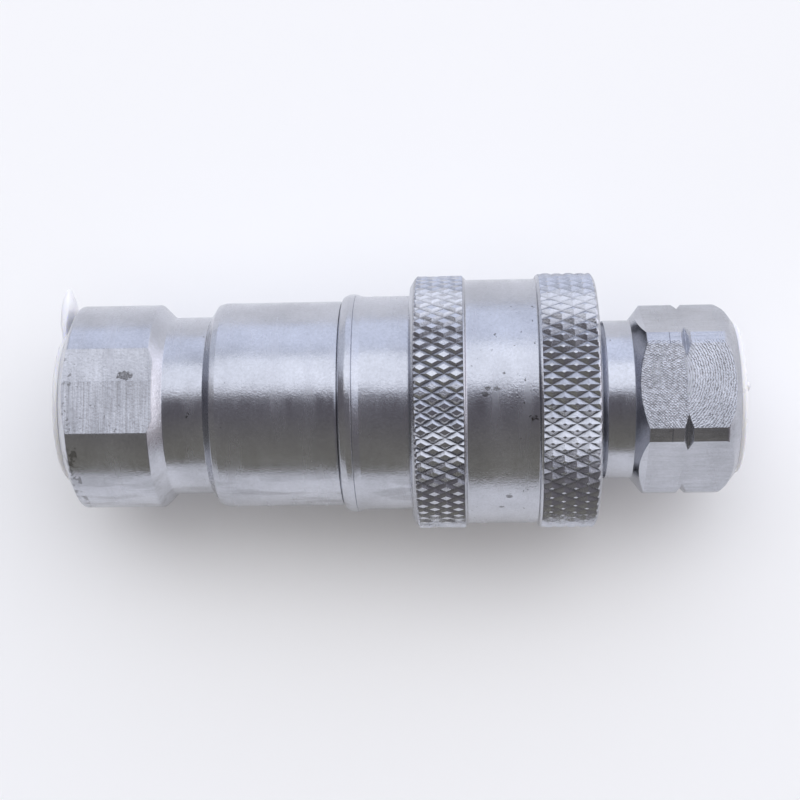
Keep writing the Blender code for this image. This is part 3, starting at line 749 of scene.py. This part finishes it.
def nipple_plug():
    """The plug, with the small gate mark that moulding left on the edge of its crown."""
    tip = span("male_port_plug")[0]
    seat = NIPPLE_FACE + 0.03
    plug = turned("nipple_plug", plug_section(seat, 1, tip))
    bm = bmesh.new()
    bmesh.ops.create_uvsphere(bm, u_segments=20, v_segments=12, radius=0.0008)
    bmesh.ops.transform(bm, matrix=Matrix.Diagonal((0.75, 1.0, 1.6, 1.0)), verts=bm.verts)
    bmesh.ops.translate(bm, vec=(axial(seat + 0.95), 0.0, 0.0103), verts=bm.verts)
    mesh = bpy.data.meshes.new("gate_mark")
    bm.to_mesh(mesh)
    bm.free()
    gate = bpy.data.objects.new("gate_mark", mesh)
    bpy.context.collection.objects.link(gate)
    return apply_cut(plug, gate, "UNION", sharp_degrees=40.0)


def pull_tab():
    """A tapering ear that rises from the flange past the port's edge, with a rounded tip."""
    sections = [(9.0, -0.3, 0.6, 4.4), (11.2, -0.7, 0.5, 4.2), (12.8, -1.1, 0.55, 4.0),
                (14.2, -1.2, 0.75, 3.8), (15.4, -1.2, 0.85, 3.6), (16.5, -1.15, 0.7, 3.2),
                (17.5, -1.05, 0.45, 2.6), (18.4, -0.9, 0.15, 1.8), (19.1, -0.75, -0.1, 1.0),
                (19.4, -0.55, -0.3, 0.3)]
    sides = 20
    verts = []
    for radius, low, high, half in sections:
        for k in range(sides):
            angle = 2 * math.pi * k / sides
            c, s = math.cos(angle), math.sin(angle)
            across = half * math.copysign(abs(c) ** 0.7, c)
            thick = 0.5 * (low + high) + 0.5 * (high - low) * math.copysign(abs(s) ** 0.6, s)
            verts.append((axial(thick), radius * MM, across * MM))
    faces = [tuple(range(sides)), tuple(range((len(sections) - 1) * sides, len(sections) * sides))]
    for r in range(len(sections) - 1):
        for k in range(sides):
            n = (k + 1) % sides
            faces.append((r * sides + k, r * sides + n, (r + 1) * sides + n, (r + 1) * sides + k))
    return new_object("pull_tab", verts, faces, sharp_degrees=50.0)


def socket_plug():
    tip = span("female_port_plug")[1]
    plug = turned("socket_plug", plug_section(1.05, -1, tip))
    return apply_cut(plug, pull_tab(), "UNION", sharp_degrees=40.0)


# ---------------------------------------------------------------- inner pieces

def ring_like(name, node_name):
    """A round-section ring the size of a CAD node's box."""
    start, end = span(node_name)
    wire = 0.5 * (end - start)
    mean = radius_of(node_name) - wire
    outline = []
    for k in range(20):
        angle = 2 * math.pi * k / 20
        outline.append((0.5 * (start + end) + wire * math.cos(angle), mean + wire * math.sin(angle)))
    return turned(name, outline, 128)


def coil_like(name, node_name, mean, wire, turns):
    """A compression spring with closed ends, as long as a CAD node."""
    start, end = span(node_name)
    per_turn = 40
    end_pitch = 2 * wire * 1.12
    middle_pitch = (end - start - 2 * wire - 2 * end_pitch) / (turns - 2)
    station = start + wire
    sides = 12
    verts = []
    steps = int(turns * per_turn)
    for i in range(steps + 1):
        turn = i / per_turn
        angle = 2 * math.pi * turn
        for k in range(sides):
            around = 2 * math.pi * k / sides
            radius = mean + wire * math.cos(around)
            verts.append((axial(station + wire * math.sin(around)), radius * MM * math.cos(angle),
                          radius * MM * math.sin(angle)))
        closed = turn < 1.0 or turn >= turns - 1.0
        station += (end_pitch if closed else middle_pitch) / per_turn
    faces = [tuple(range(sides)), tuple(range(steps * sides, (steps + 1) * sides))]
    for i in range(steps):
        for k in range(sides):
            n = (k + 1) % sides
            faces.append((i * sides + k, i * sides + n, (i + 1) * sides + n, (i + 1) * sides + k))
    return new_object(name, verts, faces, sharp_degrees=60.0)


def ball_like(name, node_name):
    low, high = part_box(node_name)
    bm = bmesh.new()
    bmesh.ops.create_uvsphere(bm, u_segments=32, v_segments=20, radius=BALL_R * MM,
                              matrix=Matrix.Translation(0.5 * (low + high)))
    mesh = bpy.data.meshes.new(name)
    bm.to_mesh(mesh)
    bm.free()
    mesh.shade_smooth()
    ball = bpy.data.objects.new(name, mesh)
    bpy.context.collection.objects.link(ball)
    return ball


# ---------------------------------------------------------------- assembly

def build_object():
    collar_zinc = zinc("zinc_collar", marks=collar_marks)
    barrel_zinc = zinc("zinc_barrel", marks=barrel_marks)
    hexagon_zinc = zinc("zinc_hexagon", marks=hexagon_marks)
    sleeve_zinc = zinc("zinc_sleeve", grain_depth=0.028, marks=sleeve_marks)
    inner_steel = zinc("inner_steel", (0.52, 0.52, 0.53), 0.26, 0.002, 0.001)
    wire = zinc("spring_wire", (0.40, 0.40, 0.42), 0.30, 0.0, 0.001)
    balls = zinc("ball_steel", (0.78, 0.78, 0.80), 0.10, 0.0, 0.0003)
    rubber = dark_rubber("seal_rubber")
    plastic = milky_plastic("plug_plastic")
    stand_for(socket_adapter(), "female_adapter", "socket", collar_zinc)
    stand_for(socket_barrel(), "female_barrel", "socket", barrel_zinc)
    stand_for(locking_sleeve(), "locking_sleeve", "locking_sleeve", sleeve_zinc)
    stand_for(nipple_body(), "male_body", "nipple", hexagon_zinc)
    stand_for(nipple_plug(), "male_port_plug", "nipple_plug", plastic)
    stand_for(socket_plug(), "female_port_plug", "socket_plug", plastic)
    for name, cad, body in (("stem", "fixed_stem", "socket"),
                            ("face_valve_sleeve", "face_sleeve", "face_valve"),
                            ("poppet_stem", "male_poppet", "poppet"),
                            ("thrust_washer", "sleeve_thrust_washer", "thrust_washer")):
        stand_for(turned(name, section_of(cad)), cad, body, inner_steel)
    for cad, body in (("adapter_seal", "socket"), ("stem_seal", "socket"), ("face_sleeve_seal", "face_valve"),
                      ("barrel_seal", "socket"), ("poppet_seal", "poppet")):
        stand_for(ring_like(cad + "_ring", cad), cad, body, rubber)
    for cad, body, mean, radius, turns in (("sleeve_spring", "socket", 16.25, 0.55, 4.5),
                                           ("face_sleeve_spring", "socket", 12.0, 0.7, 7.5),
                                           ("poppet_spring", "nipple", 4.7, 0.6, 8.0)):
        coil = stand_for(coil_like(cad + "_coil", cad, mean, radius, turns), cad, body, wire)
        if cad == "sleeve_spring":
            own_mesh(coil)
    for cad in sorted(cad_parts):
        if cad.startswith("locking_ball_"):
            stand_for(ball_like(cad.replace("locking_", ""), cad), cad, "socket", balls)
    for cad in ("stem_carrier", "stem_nut", "barrel_backup_ring", "sleeve_retaining_ring", "poppet_guide",
                "guide_retaining_ring"):
        cad_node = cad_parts[cad]
        cad_node.data.materials.clear()
        cad_node.data.materials.append(plastic if cad == "barrel_backup_ring" else inner_steel)


# ---------------------------------------------------------------- studio

CAMERA_FOCAL = 1616.0
CAMERA_DISTANCE = 257.0
CAMERA_FOOT = 64.5
CAMERA_AIM = 53.16
CAMERA_AIM_RISE = 0.4
CAMERA_TILT = math.radians(9.4)
CAMERA_ROLL = math.radians(0.83)


def add_camera():
    up_tilt = Vector((0.0, -math.sin(CAMERA_TILT), math.cos(CAMERA_TILT)))
    image_up = Vector((0.0, math.cos(CAMERA_TILT), math.sin(CAMERA_TILT)))
    place = Vector((axial(CAMERA_FOOT), 0, 0)) + up_tilt * CAMERA_DISTANCE * MM
    aim = Vector((axial(CAMERA_AIM), 0, 0)) + image_up * CAMERA_AIM_RISE * MM
    look = (aim - place).normalized()
    right = look.cross(image_up).normalized()
    up = right.cross(look).normalized()
    turn = Matrix.Rotation(CAMERA_ROLL, 3, look)
    right, up = turn @ right, turn @ up
    data = bpy.data.cameras.new("camera")
    data.sensor_width = 36.0
    data.lens = data.sensor_width * CAMERA_FOCAL / 800.0
    data.clip_start = 0.01
    data.clip_end = 20.0
    camera = bpy.data.objects.new("camera", data)
    bpy.context.collection.objects.link(camera)
    camera.matrix_world = Matrix.Translation(place) @ Matrix((right, up, -look)).transposed().to_4x4()
    bpy.context.scene.camera = camera


def add_floor():
    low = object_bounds()[0].z
    bpy.ops.mesh.primitive_plane_add(size=6.0, location=(0, 0, low - 0.0002))
    floor = bpy.context.object
    floor.name = "floor"
    material, tree, shader = new_material("floor")
    tree.links.new(ramp(tree, noise(tree, (3, 3, 3)), [(0.3, (0.93, 0.93, 0.94)), (0.7, (0.95, 0.95, 0.96))]),
                   shader.inputs["Base Color"])
    shader.inputs["Roughness"].default_value = 0.9
    shader.inputs["Specular IOR Level"].default_value = 0.1
    floor.data.materials.append(material)


def add_world():
    """Pale backdrop for the camera. For light, a dark -Y side, a pale blue +Y side and a warm +X end."""
    world = bpy.data.worlds.new("studio")
    world.use_nodes = True
    bpy.context.scene.world = world
    tree = world.node_tree
    back = tree.nodes["Background"]
    where = node(tree, "ShaderNodeTexCoord")
    parts = node(tree, "ShaderNodeSeparateXYZ")
    tree.links.new(where.outputs["Generated"], parts.inputs["Vector"])
    side = node(tree, "ShaderNodeMath", operation="MULTIPLY_ADD")
    side.inputs[1].default_value = 0.35
    tree.links.new(parts.outputs["X"], side.inputs[0])
    tree.links.new(parts.outputs["Y"], side.inputs[2])
    shift = node(tree, "ShaderNodeMath", operation="MULTIPLY_ADD")
    shift.inputs[1].default_value = 0.5
    shift.inputs[2].default_value = 0.5
    tree.links.new(side.outputs[0], shift.inputs[0])
    glow = ramp(tree, shift.outputs[0], [(0.0, (0.25, 0.24, 0.21)), (0.30, (0.16, 0.15, 0.165)),
                                         (0.48, (0.15, 0.14, 0.16)), (0.56, (0.70, 0.73, 0.83)),
                                         (0.84, (0.76, 0.80, 0.91)), (0.92, (1.0, 1.06, 1.25)),
                                         (1.0, (1.04, 1.10, 1.28))])
    end_glow = ramp(tree, parts.outputs["X"], [(0.60, (0.0, 0.0, 0.0)), (0.85, (0.95, 0.85, 0.82))])
    away = ramp(tree, shift.outputs[0], [(0.46, (0.3, 0.3, 0.3)), (0.60, (1.0, 1.0, 1.0))])
    shaded = node(tree, "ShaderNodeMix", data_type="RGBA", blend_type="MULTIPLY")
    shaded.inputs["Factor"].default_value = 1.0
    tree.links.new(end_glow, shaded.inputs["A"])
    tree.links.new(away, shaded.inputs["B"])
    lifted = node(tree, "ShaderNodeMix", data_type="RGBA", blend_type="ADD")
    lifted.inputs["Factor"].default_value = 1.0
    tree.links.new(glow, lifted.inputs["A"])
    tree.links.new(shaded.outputs["Result"], lifted.inputs["B"])
    paths = node(tree, "ShaderNodeLightPath")
    pale = node(tree, "ShaderNodeMix", data_type="RGBA")
    pale.inputs["B"].default_value = (0.95, 0.95, 0.97, 1.0)
    tree.links.new(paths.outputs["Is Camera Ray"], pale.inputs["Factor"])
    tree.links.new(lifted.outputs["Result"], pale.inputs["A"])
    tree.links.new(pale.outputs["Result"], back.inputs["Color"])


def add_softbox(name, lean, distance, size_x, size_y, radiance, color):
    """An area light over the object, leaning toward +Y by an angle in degrees."""
    data = bpy.data.lights.new(name, "AREA")
    data.shape = "RECTANGLE"
    data.size = size_x
    data.size_y = size_y
    data.energy = radiance * math.pi * size_x * size_y
    data.color = color
    light = bpy.data.objects.new(name, data)
    lean = math.radians(lean)
    light.location = Vector((0.0, math.sin(lean), math.cos(lean))) * distance
    light.rotation_euler = (-lean, 0.0, 0.0)
    bpy.context.collection.objects.link(light)
    return light


def add_studio():
    add_camera()
    add_floor()
    add_world()
    add_softbox("softbox", 24.0, 0.9, 1.8, 0.68, 0.64, (1.0, 1.0, 1.0))
    fill = add_softbox("floor_fill", 0.0, 1.2, 1.6, 1.6, 0.8, (1.0, 0.995, 0.95))
    fill.visible_glossy = False
    bpy.context.scene.view_settings.view_transform = "Standard"


build_object()
add_studio()
